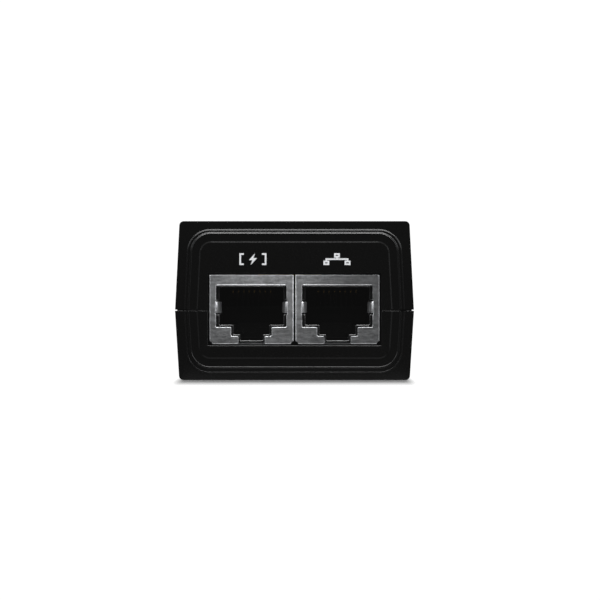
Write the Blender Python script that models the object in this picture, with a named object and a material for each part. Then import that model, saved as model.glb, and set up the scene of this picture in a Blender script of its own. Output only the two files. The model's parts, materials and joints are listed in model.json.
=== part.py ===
"""A power-over-Ethernet injector: a two-shell plastic case with two shielded jacks and a mains inlet.

Run with: blender --background --python part.py

Frame: the origin is the centre of the underside, +Z is up, the jacks face -Y and the mains inlet
faces +Y. The sizes below are millimetres, and the helpers turn them into Blender's metres.
"""
import math

import bmesh
import bpy
from mathutils import Matrix, Vector

MM = 0.001
GAP = 0.3                      # air between pieces that touch

# Case
CASE_HEIGHT = 30.0
PARTING_Z = 13.0
PARTING_HALF_WIDTH = 22.55
TOP_HALF_WIDTH = 21.7
BOTTOM_HALF_WIDTH = 21.75
HALF_LENGTH = 43.0
EDGE_RADIUS = 0.85
WALL = 2.0
RING_STEP = 0.2                # each of the three raised steps on an end face
END_PLANE = HALF_LENGTH - 3 * RING_STEP
INNER_HALF_LENGTH = END_PLANE - 1.8
TONGUE_HEIGHT = 1.7
REBATE_HEIGHT = TONGUE_HEIGHT + GAP
REBATE_WALL = 0.95
POST_HALF = 1.6
POSTS = [(-16.5, -37.0), (16.5, -37.0), (-16.5, 15.5), (16.5, 15.5)]

# Steps on an end face: inset from the case's sides, low z, high z, corner radius
RING_OUTER = (1.78, 1.5, 28.3, 4.3)
RING_INNER = (2.45, 2.45, 27.75, 3.8)
PANEL = (4.2, 4.15, 26.0, 2.0)
RING_ARC_STEPS = 5

# Circuit board
BOARD_TOP = 6.5
BOARD_THICKNESS = 1.6
BOARD_HALF_WIDTH = 19.6
BOARD_FRONT = -(INNER_HALF_LENGTH - GAP)
BOARD_BACK = 18.4
SEAT_Z = BOARD_TOP + GAP       # where every piece stands on the board

# Jacks
JACK_X = 8.11                 # centre of a jack from the middle
SHIELD_HALF_WIDTH = 7.96
SHIELD_BOTTOM = SEAT_Z
SHIELD_TOP = 19.86
SHIELD_FRONT = -42.9
SHIELD_DEPTH = 21.0
SHEET = 0.3
WINDOW_HALF_WIDTH = 6.6
WINDOW_TOP = 17.83
WINDOW_LEDGE_Z = 10.0
WINDOW_STEP_HALF_WIDTH = 3.82
WINDOW_STEP_Z = 8.3
WINDOW_LATCH_HALF_WIDTH = 2.5
HOUSING_HALF_WIDTH = 7.3
HOUSING_BOTTOM = 6.92
HOUSING_TOP = 19.26
HOUSING_FRONT = SHIELD_FRONT + SHEET + GAP
HOUSING_BACK = -22.6
CAVITY_HALF_WIDTH = 6.05
CAVITY_TOP = 17.55
CAVITY_LEDGE_Z = 10.42
CAVITY_STEP_HALF_WIDTH = 3.4
CAVITY_STEP_Z = 8.6
CAVITY_LATCH_HALF_WIDTH = 2.15
CAVITY_LATCH_Z = 7.47
CAVITY_BACK = -25.5
OPENING_HALF_WIDTH = 16.36
OPENING_BOTTOM = 6.58
OPENING_TOP = 20.16

# Contact wires and the carrier that holds them
CONTACT_COUNT = 8
CONTACT_PITCH = 1.02
CONTACT_WIDTH = 0.46
CONTACT_THICKNESS = 0.3
CONTACT_ROOT = (-40.2, 16.95)  # y and z of the bend at the front, the spring's hinge
CONTACT_BEND = (-33.4, 14.55)
CONTACT_TIP = (-29.4, 14.3)
CARRIER_FRONT = -28.6
COMB_FRONT = -31.0
COMB_LOW = 13.2
COMB_SHELF_TOP = 13.85
COMB_TOOTH = 0.24

# Side springs of a shield
SPRING_HEIGHT = 2.1
SPRING_Z = 13.72
SPRING_LENGTH = 6.0
SPRING_LEAN = 0.7
SPRING_THICKNESS = 0.25
SPRING_POCKET_HALF_WIDTH = 6.95

# Mains inlet
INLET_Z = 15.0
INLET_HALF_WIDTH = 13.7
INLET_HALF_HEIGHT = 9.6
INLET_BACK = 22.0              # the inner end
INLET_RECESS_HALF_WIDTH = 12.3
INLET_RECESS_HALF_HEIGHT = 8.2
INLET_RECESS_FLOOR = 26.5
INLET_CHAMFER = 5.0
FLANGE_MARGIN = 1.6
FLANGE_THICKNESS = 1.6
PIN_SPACING = 7.0
EARTH_OFFSET = 4.0
PIN_WIDTH = 2.0
PIN_HEIGHT = 4.0
PIN_BACK = 20.2
PIN_TIP = 41.0
SLOT_CLEARANCE = 0.2
WIRE_RADIUS = 0.75
WIRE_Y = 17.2

# Indicator and label
PIPE_X = 13.2
PIPE_Y = -18.9
PIPE_RADIUS = 1.4
LABEL_HALF = (17.0, 30.0)
LABEL_RECESS = 0.5

# Colour, roughness and metallic value of each material
FINISHES = {
    "case_plastic": ((0.006, 0.006, 0.006), 0.42, 0.0),
    "shield_metal": ((0.42, 0.43, 0.44), 0.38, 1.0),
    "spring_metal": ((0.55, 0.56, 0.57), 0.28, 1.0),
    "jack_plastic": ((0.008, 0.008, 0.009), 0.5, 0.0),
    "carrier_plastic": ((0.015, 0.015, 0.016), 0.55, 0.0),
    "gold_contact": ((0.83, 0.62, 0.25), 0.25, 1.0),
    "board_laminate": ((0.02, 0.14, 0.05), 0.4, 0.0),
    "inlet_plastic": ((0.012, 0.012, 0.012), 0.45, 0.0),
    "plated_brass": ((0.7, 0.7, 0.68), 0.25, 1.0),
    "live_wire": ((0.16, 0.06, 0.02), 0.45, 0.0),
    "neutral_wire": ((0.03, 0.12, 0.5), 0.45, 0.0),
    "earth_wire": ((0.1, 0.32, 0.03), 0.45, 0.0),
    "ferrite": ((0.04, 0.04, 0.045), 0.6, 0.0),
    "copper_winding": ((0.6, 0.24, 0.08), 0.35, 1.0),
    "winding_tape": ((0.85, 0.7, 0.1), 0.4, 0.0),
    "film_capacitor": ((0.75, 0.62, 0.08), 0.4, 0.0),
    "capacitor_sleeve": ((0.02, 0.03, 0.09), 0.35, 0.0),
    "blue_ceramic": ((0.04, 0.12, 0.45), 0.5, 0.0),
    "green_ceramic": ((0.03, 0.12, 0.06), 0.5, 0.0),
    "chip_epoxy": ((0.012, 0.012, 0.013), 0.55, 0.0),
    "heat_sink_aluminium": ((0.75, 0.76, 0.77), 0.35, 1.0),
    "light_pipe": ((0.85, 0.9, 0.88), 0.15, 0.0),
    "label_film": ((0.45, 0.46, 0.47), 0.4, 0.0),
}


# ---------------------------------------------------------------- scene and materials

def clear_scene():
    for obj in list(bpy.data.objects):
        bpy.data.objects.remove(obj, do_unlink=True)
    for collection in list(bpy.data.collections):
        bpy.data.collections.remove(collection)


def new_collection(name):
    collection = bpy.data.collections.new(name)
    bpy.context.scene.collection.children.link(collection)
    return collection


def finish_material(name):
    """The Principled material of one finish, made the first time it is asked for."""
    if name in bpy.data.materials:
        return bpy.data.materials[name]
    colour, roughness, metallic = FINISHES[name]
    material = bpy.data.materials.new(name)
    material.use_nodes = True
    shader = material.node_tree.nodes["Principled BSDF"]
    shader.inputs["Base Color"].default_value = (*colour, 1.0)
    shader.inputs["Roughness"].default_value = roughness
    shader.inputs["Metallic"].default_value = metallic
    return material


def show(obj, finish):
    """Put an object in the injector's own collection, with its finish."""
    obj.data.materials.append(finish_material(finish))
    INJECTOR.objects.link(obj)
    return obj


def tool(obj):
    """Put an object in the cutters' collection, hidden from renders."""
    obj.hide_render = True
    obj.display_type = "WIRE"
    CUTTERS.objects.link(obj)
    return obj


# ---------------------------------------------------------------- shapes

def from_bmesh(name, shape, centre):
    mesh = bpy.data.meshes.new(name)
    shape.to_mesh(mesh)
    shape.free()
    obj = bpy.data.objects.new(name, mesh)
    obj.location = Vector(centre) * MM
    return obj


def box(name, low, high, bevel=0.0):
    """A box between two corners, with all its edges rounded where bevel is given."""
    size = Vector(high) - Vector(low)
    shape = bmesh.new()
    bmesh.ops.create_cube(shape, size=MM, matrix=Matrix.Diagonal((*size, 1.0)))
    if bevel:
        bmesh.ops.bevel(shape, geom=shape.edges[:], offset=bevel * MM, segments=1, affect="EDGES")
    return from_bmesh(name, shape, (Vector(low) + Vector(high)) / 2)


def cylinder(name, centre, radius, length, axis="Z", segments=20, bevel=0.0):
    shape = bmesh.new()
    bmesh.ops.create_cone(shape, cap_ends=True, segments=segments, radius1=radius * MM,
                          radius2=radius * MM, depth=length * MM)
    if bevel:
        rims = [edge for edge in shape.edges if abs(edge.verts[0].co.z - edge.verts[1].co.z) < 1e-7]
        bmesh.ops.bevel(shape, geom=rims, offset=bevel * MM, segments=2, profile=0.5, affect="EDGES")
    obj = from_bmesh(name, shape, centre)
    turns = {"X": (0.0, math.pi / 2, 0.0), "Y": (math.pi / 2, 0.0, 0.0), "Z": (0.0, 0.0, 0.0)}
    obj.rotation_euler = turns[axis]
    obj.data.shade_smooth()
    obj.data.set_sharp_from_angle(angle=math.radians(40))
    return obj


def curve_to_mesh(curve_object):
    """Swap a curve object for a closed mesh object of the same name and place."""
    INJECTOR.objects.link(curve_object)
    bpy.context.view_layer.update()
    evaluated = curve_object.evaluated_get(bpy.context.evaluated_depsgraph_get())
    mesh = bpy.data.meshes.new_from_object(evaluated)
    shape = bmesh.new()
    shape.from_mesh(mesh)
    bmesh.ops.remove_doubles(shape, verts=shape.verts, dist=0.002 * MM)
    bmesh.ops.recalc_face_normals(shape, faces=shape.faces)
    shape.to_mesh(mesh)
    shape.free()
    name = curve_object.name
    matrix = curve_object.matrix_world.copy()
    bpy.data.objects.remove(curve_object, do_unlink=True)
    obj = bpy.data.objects.new(name, mesh)
    obj.matrix_world = matrix
    return obj


def outline_solid(name, outline, thickness, centre, facing):
    """A flat outline given half its thickness on each side of its centre plane.

    Facing Y takes the outline's points as (x, z), facing X as (y, z), and facing Z as (x, y).
    """
    curve = bpy.data.curves.new(name, "CURVE")
    curve.dimensions = "2D"
    curve.fill_mode = "BOTH"
    curve.extrude = thickness / 2 * MM
    spline = curve.splines.new("POLY")
    spline.points.add(len(outline) - 1)
    for point, (across, up) in zip(spline.points, outline):
        point.co = (across * MM, up * MM, 0.0, 1.0)
    spline.use_cyclic_u = True
    obj = bpy.data.objects.new(name, curve)
    obj.location = Vector(centre) * MM
    quarter = math.pi / 2
    turns = {"X": (quarter, 0.0, quarter), "Y": (quarter, 0.0, 0.0), "Z": (0.0, 0.0, 0.0)}
    obj.rotation_euler = turns[facing]
    return curve_to_mesh(obj)


def round_wire(name, points, radius):
    """A round wire through points, with filled ends."""
    curve = bpy.data.curves.new(name, "CURVE")
    curve.dimensions = "3D"
    curve.bevel_depth = radius * MM
    curve.bevel_resolution = 2
    curve.use_fill_caps = True
    spline = curve.splines.new("POLY")
    spline.points.add(len(points) - 1)
    for target, point in zip(spline.points, points):
        target.co = (*(Vector(point) * MM), 1.0)
    return curve_to_mesh(bpy.data.objects.new(name, curve))


def boolean(target, other, operation):
    modifier = target.modifiers.new(other.name, "BOOLEAN")
    modifier.operation = operation
    modifier.solver = "EXACT"
    modifier.object = other
    return target


def cut(target, *cutters):
    for cutter in cutters:
        boolean(target, cutter, "DIFFERENCE")
    return target


def join(target, *others):
    for other in others:
        boolean(target, other, "UNION")
    return target


# ---------------------------------------------------------------- case

def case_half_width(z):
    """Half the outer width at a height: each shell has its own draft."""
    if z >= PARTING_Z:
        share = (z - PARTING_Z) / (CASE_HEIGHT - PARTING_Z)
        return PARTING_HALF_WIDTH + (TOP_HALF_WIDTH - PARTING_HALF_WIDTH) * share
    share = (PARTING_Z - z) / PARTING_Z
    return PARTING_HALF_WIDTH + (BOTTOM_HALF_WIDTH - PARTING_HALF_WIDTH) * share


def drafted_block(name, low_z, high_z, inset, half_length, round_z=None):
    """A block that follows the case's drafted sides, with its two long edges at round_z rounded."""
    shape = bmesh.new()
    size = (2.0, 2 * half_length, high_z - low_z)
    bmesh.ops.create_cube(shape, size=MM, matrix=Matrix.Diagonal((*size, 1.0)))
    for vertex in shape.verts:
        z = high_z if vertex.co.z > 0 else low_z
        vertex.co.x *= case_half_width(z) - inset
    if round_z is not None:
        far = (round_z - (low_z + high_z) / 2) * MM
        long_edges = [edge for edge in shape.edges
                      if abs(edge.verts[0].co.y - edge.verts[1].co.y) > half_length * MM
                      and abs(edge.verts[0].co.z - far) < 1e-6]
        bmesh.ops.bevel(shape, geom=long_edges, offset=EDGE_RADIUS * MM, segments=4, profile=0.5,
                        affect="EDGES")
    return from_bmesh(name, shape, (0, 0, (low_z + high_z) / 2))


def end_step_outline(inset, low, high, radius):
    """Points of a step that follows the case's drafted sides, with round corners, anticlockwise."""
    low_x = case_half_width(low + radius) - inset - radius
    high_x = case_half_width(high - radius) - inset - radius
    middle = case_half_width(PARTING_Z) - inset
    corners = [(low_x, low + radius, -90.0), (high_x, high - radius, 0.0),
               (-high_x, high - radius, 90.0), (-low_x, low + radius, 180.0)]
    points = []
    for x, z, start in corners:
        for step in range(RING_ARC_STEPS + 1):
            angle = math.radians(start + 90.0 * step / RING_ARC_STEPS)
            points.append((x + radius * math.cos(angle), z + radius * math.sin(angle)))
        if start == -90.0:
            points.append((middle, PARTING_Z))
        if start == 90.0:
            points.append((-middle, PARTING_Z))
    return points


def end_steps(prefix):
    """The three raised steps on each end face, as slabs to be joined to a shell."""
    slabs = []
    for end, side in (("front", -1), ("rear", 1)):
        for level, step in enumerate((RING_OUTER, RING_INNER, PANEL), start=1):
            outer_face = END_PLANE + level * RING_STEP
            inner_face = END_PLANE - 0.6
            slab = outline_solid(f"{prefix}_{end}_step_{level}", end_step_outline(*step),
                                 outer_face - inner_face, (0, side * (outer_face + inner_face) / 2, 0),
                                 "Y")
            slabs.append(tool(slab))
    return slabs


def jack_opening(prefix):
    return tool(box(f"{prefix}_jack_opening", (-OPENING_HALF_WIDTH, -HALF_LENGTH - 1, OPENING_BOTTOM),
                    (OPENING_HALF_WIDTH, -INNER_HALF_LENGTH + 1, OPENING_TOP)))


def inlet_outline(half_width, half_height, chamfer):
    """The inlet's outline: a rectangle with its two upper corners cut off."""
    low = INLET_Z - half_height
    high = INLET_Z + half_height
    return [(-half_width, low), (half_width, low), (half_width, high - chamfer),
            (half_width - chamfer, high), (-half_width + chamfer, high), (-half_width, high - chamfer)]


def inlet_opening(prefix):
    outline = inlet_outline(INLET_HALF_WIDTH + GAP, INLET_HALF_HEIGHT + GAP, INLET_CHAMFER)
    middle = (HALF_LENGTH + 1 + INNER_HALF_LENGTH - 1) / 2
    return tool(outline_solid(f"{prefix}_inlet_opening", outline,
                              HALF_LENGTH - INNER_HALF_LENGTH + 2, (0, middle, 0), "Y"))


def build_upper_case():
    joint_z = PARTING_Z + GAP / 2
    shell = drafted_block("upper_case", joint_z, CASE_HEIGHT, 0.0, END_PLANE, round_z=CASE_HEIGHT)
    join(shell, *end_steps("upper"))
    below = tool(box("upper_parting_cut", (-30, -50, -5), (30, 50, joint_z)))
    cavity = tool(drafted_block("upper_cavity", PARTING_Z - 1, CASE_HEIGHT - WALL, WALL,
                                INNER_HALF_LENGTH))
    rebate_x = PARTING_HALF_WIDTH - REBATE_WALL
    rebate_y = END_PLANE - REBATE_WALL
    rebate = tool(box("upper_rebate", (-rebate_x, -rebate_y, PARTING_Z - 1),
                      (rebate_x, rebate_y, PARTING_Z + REBATE_HEIGHT)))
    pipe_hole = tool(cylinder("pipe_hole", (PIPE_X, PIPE_Y, CASE_HEIGHT), PIPE_RADIUS + GAP / 3, 10,
                              segments=24))
    cut(shell, below, cavity, rebate, jack_opening("upper"), inlet_opening("upper"), pipe_hole)
    for index, x in enumerate((-JACK_X, JACK_X), start=1):
        join(shell, tool(box(f"hold_down_rib_{index}", (x - 0.6, -38, SHIELD_TOP + GAP + 0.2),
                             (x + 0.6, -26, CASE_HEIGHT - WALL + 0.5))))
    return show(shell, "case_plastic")


def build_lower_case():
    joint_z = PARTING_Z - GAP / 2
    shell = drafted_block("lower_case", 0.0, joint_z, 0.0, END_PLANE, round_z=0.0)
    join(shell, *end_steps("lower"))
    above = tool(box("lower_parting_cut", (-30, -50, joint_z), (30, 50, CASE_HEIGHT + 5)))
    cut(shell, above)
    tongue_x = PARTING_HALF_WIDTH - REBATE_WALL - GAP
    tongue_y = END_PLANE - REBATE_WALL - GAP
    join(shell, tool(box("lower_tongue", (-tongue_x, -tongue_y, joint_z - 1),
                         (tongue_x, tongue_y, PARTING_Z + TONGUE_HEIGHT))))
    inner_x = PARTING_HALF_WIDTH - WALL
    cavity = tool(drafted_block("lower_cavity", WALL, PARTING_Z, WALL, INNER_HALF_LENGTH))
    tongue_cavity = tool(box("tongue_cavity", (-inner_x, -INNER_HALF_LENGTH, joint_z - 1),
                             (inner_x, INNER_HALF_LENGTH, PARTING_Z + TONGUE_HEIGHT + 2)))
    label_recess = tool(box("label_recess", (-LABEL_HALF[0] - GAP, -LABEL_HALF[1] - GAP, -1),
                            (LABEL_HALF[0] + GAP, LABEL_HALF[1] + GAP, LABEL_RECESS)))
    cut(shell, cavity, tongue_cavity, jack_opening("lower"), inlet_opening("lower"), label_recess)
    for index, (x, y) in enumerate(POSTS, start=1):
        join(shell, tool(box(f"board_post_{index}", (x - POST_HALF, y - POST_HALF, WALL - 0.5),
                             (x + POST_HALF, y + POST_HALF, BOARD_TOP - BOARD_THICKNESS - GAP))))
    return show(shell, "case_plastic")


def build_label():
    half_x, half_y = LABEL_HALF
    return show(box("rating_label", (-half_x, -half_y, 0.05), (half_x, half_y, 0.25)), "label_film")


# ---------------------------------------------------------------- jacks

def plug_cutters(name, x, low_y, high_y, top, levels):
    """Cutters for a plug opening with its latch at the bottom: one box for each width and its low edge."""
    return [tool(box(f"{name}_{index}", (x - half_width, low_y, low_z), (x + half_width, high_y, top)))
            for index, (half_width, low_z) in enumerate(levels, start=1)]


def build_shield(port, x):
    """A folded sheet can: front frame, roof, sides and back, open underneath."""
    back = SHIELD_FRONT + SHIELD_DEPTH
    shield = box(f"{port}_jack_shield", (x - SHIELD_HALF_WIDTH, SHIELD_FRONT, SHIELD_BOTTOM),
                 (x + SHIELD_HALF_WIDTH, back, SHIELD_TOP))
    inside = tool(box(f"{port}_shield_inside",
                      (x - SHIELD_HALF_WIDTH + SHEET, SHIELD_FRONT + SHEET, SHIELD_BOTTOM - 1),
                      (x + SHIELD_HALF_WIDTH - SHEET, back - SHEET, SHIELD_TOP - SHEET)))
    levels = [(WINDOW_HALF_WIDTH, WINDOW_LEDGE_Z), (WINDOW_STEP_HALF_WIDTH, WINDOW_STEP_Z),
              (WINDOW_LATCH_HALF_WIDTH, SHIELD_BOTTOM - 1)]
    window = plug_cutters(f"{port}_shield_window", x, SHIELD_FRONT - 1, SHIELD_FRONT + 1, WINDOW_TOP,
                          levels)
    return show(cut(shield, inside, *window), "shield_metal")


def build_jack_housing(port, x):
    """The plastic body: the stepped plug cavity, open at the front, with room for the side springs."""
    housing = box(f"{port}_jack_housing", (x - HOUSING_HALF_WIDTH, HOUSING_FRONT, HOUSING_BOTTOM),
                  (x + HOUSING_HALF_WIDTH, HOUSING_BACK, HOUSING_TOP))
    levels = [(CAVITY_HALF_WIDTH, CAVITY_LEDGE_Z), (CAVITY_STEP_HALF_WIDTH, CAVITY_STEP_Z),
              (CAVITY_LATCH_HALF_WIDTH, CAVITY_LATCH_Z)]
    cavity = plug_cutters(f"{port}_plug_cavity", x, HOUSING_FRONT - 1, CAVITY_BACK, CAVITY_TOP, levels)
    pocket_half = SPRING_HEIGHT / 2 + GAP
    pockets = tool(box(f"{port}_spring_pockets",
                       (x - SPRING_POCKET_HALF_WIDTH, HOUSING_FRONT - 1, SPRING_Z - pocket_half),
                       (x + SPRING_POCKET_HALF_WIDTH, HOUSING_FRONT + SPRING_LENGTH + 0.6,
                        SPRING_Z + pocket_half)))
    return show(cut(housing, *cavity, pockets), "jack_plastic")


def contact_offset(index):
    """How far a contact wire, or the middle of a gap at a half index, is from the jack's centre."""
    return (index - (CONTACT_COUNT - 1) / 2) * CONTACT_PITCH


def build_contact_carrier(port, x):
    """The insert at the back of the plug cavity, with a comb that keeps the wires' free ends apart."""
    half_width = CAVITY_HALF_WIDTH - 0.2
    top = CAVITY_TOP - 0.2
    carrier = box(f"{port}_contact_carrier", (x - half_width, CARRIER_FRONT, CAVITY_LEDGE_Z + 0.2),
                  (x + half_width, CAVITY_BACK - 0.2, top))
    comb_back = CARRIER_FRONT + 0.5
    join(carrier, tool(box(f"{port}_comb_shelf", (x - half_width, COMB_FRONT, COMB_LOW),
                           (x + half_width, comb_back, COMB_SHELF_TOP))))
    for index in range(CONTACT_COUNT - 1):
        middle = x + contact_offset(index + 0.5)
        join(carrier, tool(box(f"{port}_comb_tooth_{index + 1}",
                               (middle - COMB_TOOTH / 2, COMB_FRONT, COMB_LOW + 0.1),
                               (middle + COMB_TOOTH / 2, comb_back, top - 0.1))))
    return show(carrier, "carrier_plastic")


def contact_outline():
    """Side view of one contact wire, as (y, z) about the hinge: bend, slope and free end."""
    root_y, root_z = CONTACT_ROOT
    half = CONTACT_THICKNESS / 2
    line = [(0.0, 0.0), (CONTACT_BEND[0] - root_y, CONTACT_BEND[1] - root_z),
            (CONTACT_TIP[0] - root_y, CONTACT_TIP[1] - root_z)]
    bend = [(half * math.cos(math.radians(angle)), half * math.sin(math.radians(angle)))
            for angle in (100, 135, 180, 225, 260)]
    upper = [(y, z + half) for y, z in line[1:]]
    lower = [(y, z - half) for y, z in line[1:]]
    return bend + lower + upper[::-1]


def build_contacts(port, x):
    """Eight spring wires under one empty on their hinge line, at the bend by the front of the roof."""
    hinge = bpy.data.objects.new(f"{port}_contact_hinge", None)
    hinge.empty_display_size = 2 * MM
    hinge.location = Vector((x, *CONTACT_ROOT)) * MM
    INJECTOR.objects.link(hinge)
    for index in range(CONTACT_COUNT):
        wire = outline_solid(f"{port}_contact_{index + 1}", contact_outline(), CONTACT_WIDTH,
                             (contact_offset(index), 0, 0), "X")
        wire.parent = hinge
        show(wire, "gold_contact")


def side_spring_outline(side):
    """A side spring from above, as (x, y) about its hinge: leaning in, then back out at its tip."""
    lean = -side * SPRING_LEAN
    thick = side * SPRING_THICKNESS
    return [(0.0, 0.0), (lean, SPRING_LENGTH * 0.62), (lean * 0.55, SPRING_LENGTH),
            (lean * 0.55 + thick, SPRING_LENGTH), (lean + thick, SPRING_LENGTH * 0.62), (thick, 0.0)]


def build_side_spring(port, x, label, side):
    """A grounding finger beside the plug, hinged where it leaves the shield's window."""
    hinge_x = x + side * (WINDOW_HALF_WIDTH - SPRING_THICKNESS - 0.1)
    centre = (hinge_x, SHIELD_FRONT + SHEET + 0.1, SPRING_Z)
    spring = outline_solid(f"{port}_side_spring_{label}", side_spring_outline(side), SPRING_HEIGHT,
                           centre, "Z")
    return show(spring, "spring_metal")


def build_jack(port, x):
    build_shield(port, x)
    build_jack_housing(port, x)
    build_contact_carrier(port, x)
    build_contacts(port, x)
    for label, side in (("left", -1), ("right", 1)):
        build_side_spring(port, x, label, side)


# ---------------------------------------------------------------- mains inlet

PINS = {"line": (-PIN_SPACING, INLET_Z), "neutral": (PIN_SPACING, INLET_Z),
        "earth": (0.0, INLET_Z + EARTH_OFFSET)}


def build_inlet_housing():
    """The inlet's body: a deep recess with a flange behind the case wall and a slot for each pin."""
    length = HALF_LENGTH - INLET_BACK
    outer = inlet_outline(INLET_HALF_WIDTH, INLET_HALF_HEIGHT, INLET_CHAMFER)
    housing = outline_solid("ac_inlet_housing", outer, length, (0, INLET_BACK + length / 2, 0), "Y")
    flange_outline = inlet_outline(INLET_HALF_WIDTH + FLANGE_MARGIN, INLET_HALF_HEIGHT + FLANGE_MARGIN,
                                   INLET_CHAMFER)
    flange_y = INNER_HALF_LENGTH - GAP - FLANGE_THICKNESS / 2
    join(housing, tool(outline_solid("inlet_flange", flange_outline, FLANGE_THICKNESS,
                                     (0, flange_y, 0), "Y")))
    recess_outline = inlet_outline(INLET_RECESS_HALF_WIDTH, INLET_RECESS_HALF_HEIGHT,
                                   INLET_CHAMFER - 0.6)
    depth = HALF_LENGTH - INLET_RECESS_FLOOR + 1
    cut(housing, tool(outline_solid("inlet_recess", recess_outline, depth,
                                    (0, INLET_RECESS_FLOOR + depth / 2, 0), "Y")))
    for pin, (x, z) in PINS.items():
        half_x = PIN_WIDTH / 2 + SLOT_CLEARANCE
        half_z = PIN_HEIGHT / 2 + SLOT_CLEARANCE
        cut(housing, tool(box(f"{pin}_pin_slot", (x - half_x, INLET_BACK - 1, z - half_z),
                              (x + half_x, INLET_RECESS_FLOOR + 1, z + half_z))))
    return show(housing, "inlet_plastic")


def build_inlet_pins():
    for pin, (x, z) in PINS.items():
        blade = box(f"{pin}_pin", (x - PIN_WIDTH / 2, PIN_BACK, z - PIN_HEIGHT / 2),
                    (x + PIN_WIDTH / 2, PIN_TIP, z + PIN_HEIGHT / 2), bevel=0.35)
        show(blade, "plated_brass")


def build_inlet_wires():
    """A short wire from the inner end of each pin down to the board."""
    finishes = {"line": "live_wire", "neutral": "neutral_wire", "earth": "earth_wire"}
    for pin, (x, z) in PINS.items():
        points = [(x, PIN_BACK - GAP, z), (x, PIN_BACK - 1.2, z), (x, WIRE_Y + 0.6, z - 0.3),
                  (x, WIRE_Y, z - 1.4), (x, WIRE_Y, SEAT_Z)]
        show(round_wire(f"{pin}_wire", points, WIRE_RADIUS), finishes[pin])


# ---------------------------------------------------------------- circuit board and its parts

def build_board():
    board = box("circuit_board", (-BOARD_HALF_WIDTH, BOARD_FRONT, BOARD_TOP - BOARD_THICKNESS),
                (BOARD_HALF_WIDTH, BOARD_BACK, BOARD_TOP))
    return show(board, "board_laminate")


def on_board(name, x, y, size, finish, bevel=0.0):
    """A box standing on the board, by its centre and its size."""
    half_x = size[0] / 2
    half_y = size[1] / 2
    return show(box(name, (x - half_x, y - half_y, SEAT_Z), (x + half_x, y + half_y, SEAT_Z + size[2]),
                    bevel), finish)


def upright_can(name, x, y, radius, height, finish):
    return show(cylinder(name, (x, y, SEAT_Z + height / 2), radius, height, bevel=0.5), finish)


def standing_disc(name, x, y, radius, thickness, finish, axis="Y"):
    return show(cylinder(name, (x, y, SEAT_Z + radius), radius, thickness, axis=axis, bevel=0.6), finish)


def build_line_choke():
    """A square ferrite ring standing up, with a winding round each upright leg."""
    x, y = -12.3, 1.6
    core = box("line_choke_core", (x - 6.5, y - 1.5, SEAT_Z), (x + 6.5, y + 1.5, SEAT_Z + 12))
    cut(core, tool(box("line_choke_window", (x - 3.5, y - 3, SEAT_Z + 3), (x + 3.5, y + 3, SEAT_Z + 9))))
    show(core, "ferrite")
    for label, leg_x in (("left", x - 5.0), ("right", x + 5.0)):
        low = (leg_x - 2.6, y - 2.6, SEAT_Z + 3 + GAP)
        high = (leg_x + 2.6, y + 2.6, SEAT_Z + 9 - GAP)
        winding = box(f"line_choke_winding_{label}", low, high)
        passage = tool(box(f"line_choke_passage_{label}", (leg_x - 1.8, y - 1.8, SEAT_Z),
                           (leg_x + 1.8, y + 1.8, SEAT_Z + 12)))
        show(cut(winding, passage), "copper_winding")


def build_transformer():
    """An E-E core with the wound and taped coil on its middle leg, on the bobbin's pin base."""
    x, y = -1.0, -9.6
    base_top = SEAT_Z + 2.0
    on_board("transformer_bobbin_base", x, y, (17.0, 11.6, 2.0), "carrier_plastic")
    low_z = base_top + GAP
    core = box("transformer_core", (x - 9.4, y - 2.5, low_z), (x + 9.4, y + 2.5, low_z + 15))
    for label, side in (("left", -1), ("right", 1)):
        centre_x = x + side * 4.6
        cut(core, tool(box(f"core_window_{label}", (centre_x - 2.3, y - 4, low_z + 2.4),
                           (centre_x + 2.3, y + 4, low_z + 12.6))))
    show(core, "ferrite")
    winding = box("transformer_winding", (x - 6.5, y - 5.8, low_z + 2.4 + GAP),
                  (x + 6.5, y + 5.8, low_z + 12.6 - GAP))
    passage = tool(box("winding_passage", (x - 2.3 - GAP, y - 2.5 - GAP, low_z),
                       (x + 2.3 + GAP, y + 2.5 + GAP, low_z + 15)))
    show(cut(winding, passage), "winding_tape")


def build_switch():
    """The switching transistor flat against its upright heat sink, beside the transformer."""
    on_board("heat_sink", 17.7, -9.6, (1.4, 13.0, 17.0), "heat_sink_aluminium")
    on_board("switching_transistor", 14.3, -9.6, (4.6, 10.2, 15.0), "chip_epoxy", bevel=0.3)


def build_board_parts():
    on_board("x_capacitor", 10.5, 13.0, (13.0, 5.6, 10.5), "film_capacitor", bevel=0.4)
    upright_can("fuse", -14.2, 11.4, 3.9, 7.5, "chip_epoxy")
    standing_disc("inrush_thermistor", -5.2, 13.6, 3.8, 3.2, "green_ceramic")
    standing_disc("surge_varistor", -5.2, 8.0, 3.8, 3.2, "blue_ceramic")
    on_board("bridge_rectifier", 2.3, 3.4, (6.4, 8.2, 3.2), "chip_epoxy", bevel=0.2)
    upright_can("input_capacitor", 12.0, 3.4, 6.2, 18.0, "capacitor_sleeve")
    on_board("optocoupler", -14.6, -6.0, (6.4, 4.6, 3.4), "chip_epoxy", bevel=0.2)
    standing_disc("y_capacitor", -14.6, -11.6, 3.2, 2.8, "blue_ceramic")
    upright_can("output_capacitor_1", -15.6, -17.6, 3.3, 11.0, "capacitor_sleeve")
    upright_can("output_capacitor_2", -8.6, -18.7, 2.8, 11.0, "capacitor_sleeve")
    upright_can("output_choke", -1.6, -18.7, 2.8, 8.0, "ferrite")
    show(cylinder("output_diode", (6.2, -18.7, SEAT_Z + 2.6), 2.4, 8.0, axis="X", bevel=0.4), "chip_epoxy")
    under = BOARD_TOP - BOARD_THICKNESS - GAP
    show(box("controller_chip", (-2.5, -7.0, under - 1.5), (2.5, -3.0, under)), "chip_epoxy")


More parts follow.
